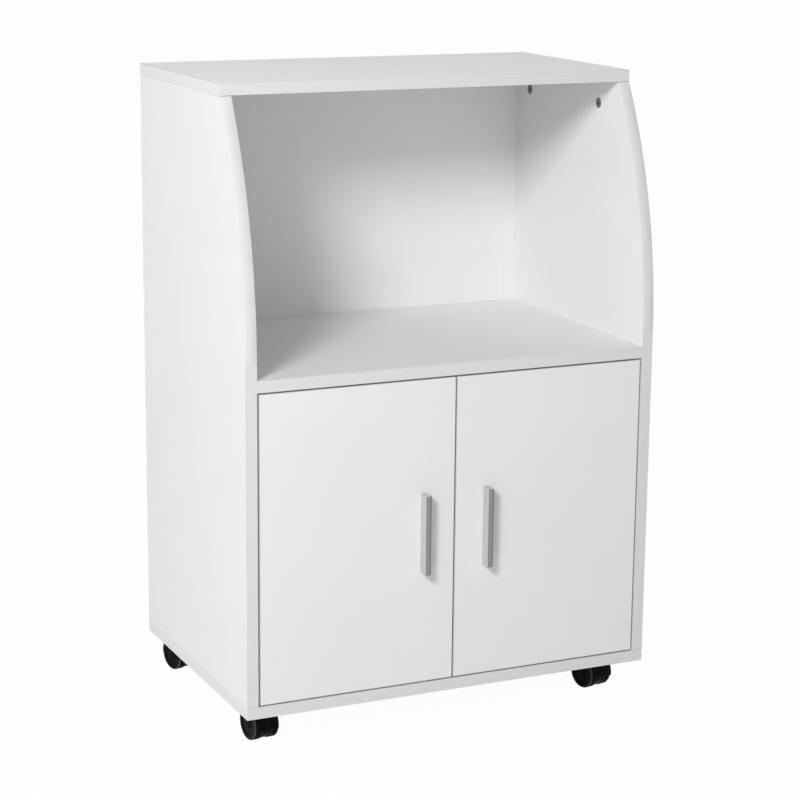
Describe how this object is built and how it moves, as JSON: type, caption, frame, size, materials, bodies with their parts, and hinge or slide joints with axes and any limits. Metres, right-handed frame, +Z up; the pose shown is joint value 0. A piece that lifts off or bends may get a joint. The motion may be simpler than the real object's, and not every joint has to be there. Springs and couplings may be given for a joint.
{
  "type": "microwave cart",
  "caption": "White board cart on twin-wheel swivel casters: open microwave bay with curved side fronts over an inset-door cupboard.",
  "frame": {"origin": "middle of the bounding box on the floor, where the caster wheels stand", "axes": "+Z up, doors and handles face -Y, +X to the right of someone facing the doors"},
  "size_m": [0.6, 0.418, 0.88],
  "materials": {
    "top_board": "white melamine foil on particle board, satin, faint pressed grain",
    "side_board": "white melamine foil on particle board, satin, faint pressed grain",
    "base_board": "white melamine foil on particle board, satin, faint pressed grain",
    "shelf_board": "white melamine foil on particle board, satin, faint pressed grain",
    "door_board": "white melamine foil on particle board, satin, faint pressed grain",
    "back_board": "white lacquered hardboard, satin",
    "handle_silver": "satin silver, fine brushing along its length",
    "zinc_cam": "dull die-cast zinc",
    "beech_dowel": "raw beech, fluted",
    "catch_plastic": "white moulded plastic",
    "magnet": "sintered magnet, matt",
    "caster_plastic": "black moulded plastic, semi-gloss",
    "wheel_plastic": "black moulded plastic, worn satin tread",
    "nickel_hinge": "nickel-plated pressed steel",
    "screw_steel": "zinc-plated steel",
    "steel": "bright steel"
  },
  "bodies": {
    "carcass": {"top_panel": "top_board", "left_side_panel": "side_board", "right_side_panel": "side_board", "bottom_panel": "base_board", "middle_shelf": "shelf_board", "back_panel": "back_board", "cam_locks": "zinc_cam", "cam_bolts": "steel", "wood_dowels": "beech_dowel", "left_upper_hinge_arm": "nickel_hinge", "left_lower_hinge_arm": "nickel_hinge", "right_upper_hinge_arm": "nickel_hinge", "right_lower_hinge_arm": "nickel_hinge", "left_upper_hinge_plate": "nickel_hinge", "left_lower_hinge_plate": "nickel_hinge", "right_upper_hinge_plate": "nickel_hinge", "right_lower_hinge_plate": "nickel_hinge", "hinge_plate_screws": "screw_steel", "hinge_arm_screws": "screw_steel", "door_catch": "catch_plastic", "catch_magnets": "magnet", "catch_screws": "screw_steel", "front_left_caster_plate": "nickel_hinge", "front_right_caster_plate": "nickel_hinge", "rear_left_caster_plate": "nickel_hinge", "rear_right_caster_plate": "nickel_hinge", "caster_screws": "screw_steel"},
    "left_door_leaf": {"left_door": "door_board", "left_handle": "handle_silver", "left_handle_screws": "screw_steel", "left_upper_hinge_cup": "nickel_hinge", "left_lower_hinge_cup": "nickel_hinge", "left_hinge_pins": "steel", "left_cup_screws": "screw_steel", "left_catch_strike": "steel"},
    "right_door_leaf": {"right_door": "door_board", "right_handle": "handle_silver", "right_handle_screws": "screw_steel", "right_upper_hinge_cup": "nickel_hinge", "right_lower_hinge_cup": "nickel_hinge", "right_hinge_pins": "steel", "right_cup_screws": "screw_steel", "right_catch_strike": "steel"},
    "front_left_caster": {"front_left_caster_fork": "caster_plastic", "front_left_axle": "steel"},
    "front_right_caster": {"front_right_caster_fork": "caster_plastic", "front_right_axle": "steel"},
    "rear_left_caster": {"rear_left_caster_fork": "caster_plastic", "rear_left_axle": "steel"},
    "rear_right_caster": {"rear_right_caster_fork": "caster_plastic", "rear_right_axle": "steel"},
    "front_left_outer_wheel_body": {"front_left_outer_wheel": "wheel_plastic"},
    "front_left_inner_wheel_body": {"front_left_inner_wheel": "wheel_plastic"},
    "front_right_outer_wheel_body": {"front_right_outer_wheel": "wheel_plastic"},
    "front_right_inner_wheel_body": {"front_right_inner_wheel": "wheel_plastic"},
    "rear_left_outer_wheel_body": {"rear_left_outer_wheel": "wheel_plastic"},
    "rear_left_inner_wheel_body": {"rear_left_inner_wheel": "wheel_plastic"},
    "rear_right_outer_wheel_body": {"rear_right_outer_wheel": "wheel_plastic"},
    "rear_right_inner_wheel_body": {"rear_right_inner_wheel": "wheel_plastic"}
  },
  "joints": [
    {"name": "left_door_hinge", "type": "hinge", "parent": "carcass", "child": "left_door_leaf", "pos_m": [-0.268, -0.1828, 0.2805], "axis": [0, 0, -1], "range_deg": [0, 100]},
    {"name": "right_door_hinge", "type": "hinge", "parent": "carcass", "child": "right_door_leaf", "pos_m": [0.268, -0.1828, 0.2805], "axis": [0, 0, 1], "range_deg": [0, 100]},
    {"name": "front_left_swivel", "type": "hinge", "parent": "carcass", "child": "front_left_caster", "pos_m": [-0.257, -0.144, 0.039], "axis": [0, 0, 1], "continuous": true},
    {"name": "front_right_swivel", "type": "hinge", "parent": "carcass", "child": "front_right_caster", "pos_m": [0.257, -0.144, 0.039], "axis": [0, 0, 1], "continuous": true},
    {"name": "rear_left_swivel", "type": "hinge", "parent": "carcass", "child": "rear_left_caster", "pos_m": [-0.257, 0.162, 0.039], "axis": [0, 0, 1], "continuous": true},
    {"name": "rear_right_swivel", "type": "hinge", "parent": "carcass", "child": "rear_right_caster", "pos_m": [0.257, 0.162, 0.039], "axis": [0, 0, 1], "continuous": true},
    {"name": "front_left_outer_wheel_spin", "type": "hinge", "parent": "front_left_caster", "child": "front_left_outer_wheel_body", "pos_m": [-0.25867, -0.12809, 0.023], "axis": [0.9945, 0.1045, 0], "continuous": true},
    {"name": "front_left_inner_wheel_spin", "type": "hinge", "parent": "front_left_caster", "child": "front_left_inner_wheel_body", "pos_m": [-0.25867, -0.12809, 0.023], "axis": [0.9945, 0.1045, 0], "continuous": true},
    {"name": "front_right_outer_wheel_spin", "type": "hinge", "parent": "front_right_caster", "child": "front_right_outer_wheel_body", "pos_m": [0.25367, -0.12835, 0.023], "axis": [0.9781, 0.2079, 0], "continuous": true},
    {"name": "front_right_inner_wheel_spin", "type": "hinge", "parent": "front_right_caster", "child": "front_right_inner_wheel_body", "pos_m": [0.25367, -0.12835, 0.023], "axis": [0.9781, 0.2079, 0], "continuous": true},
    {"name": "rear_left_outer_wheel_spin", "type": "hinge", "parent": "rear_left_caster", "child": "rear_left_outer_wheel_body", "pos_m": [-0.26087, 0.17752, 0.023], "axis": [0.9703, 0.2419, 0], "continuous": true},
    {"name": "rear_left_inner_wheel_spin", "type": "hinge", "parent": "rear_left_caster", "child": "rear_left_inner_wheel_body", "pos_m": [-0.26087, 0.17752, 0.023], "axis": [0.9703, 0.2419, 0], "continuous": true},
    {"name": "rear_right_outer_wheel_spin", "type": "hinge", "parent": "rear_right_caster", "child": "rear_right_outer_wheel_body", "pos_m": [0.2545, 0.1778, 0.023], "axis": [0.9877, 0.1564, 0], "continuous": true},
    {"name": "rear_right_inner_wheel_spin", "type": "hinge", "parent": "rear_right_caster", "child": "rear_right_inner_wheel_body", "pos_m": [0.2545, 0.1778, 0.023], "axis": [0.9877, 0.1564, 0], "continuous": true}
  ]
}
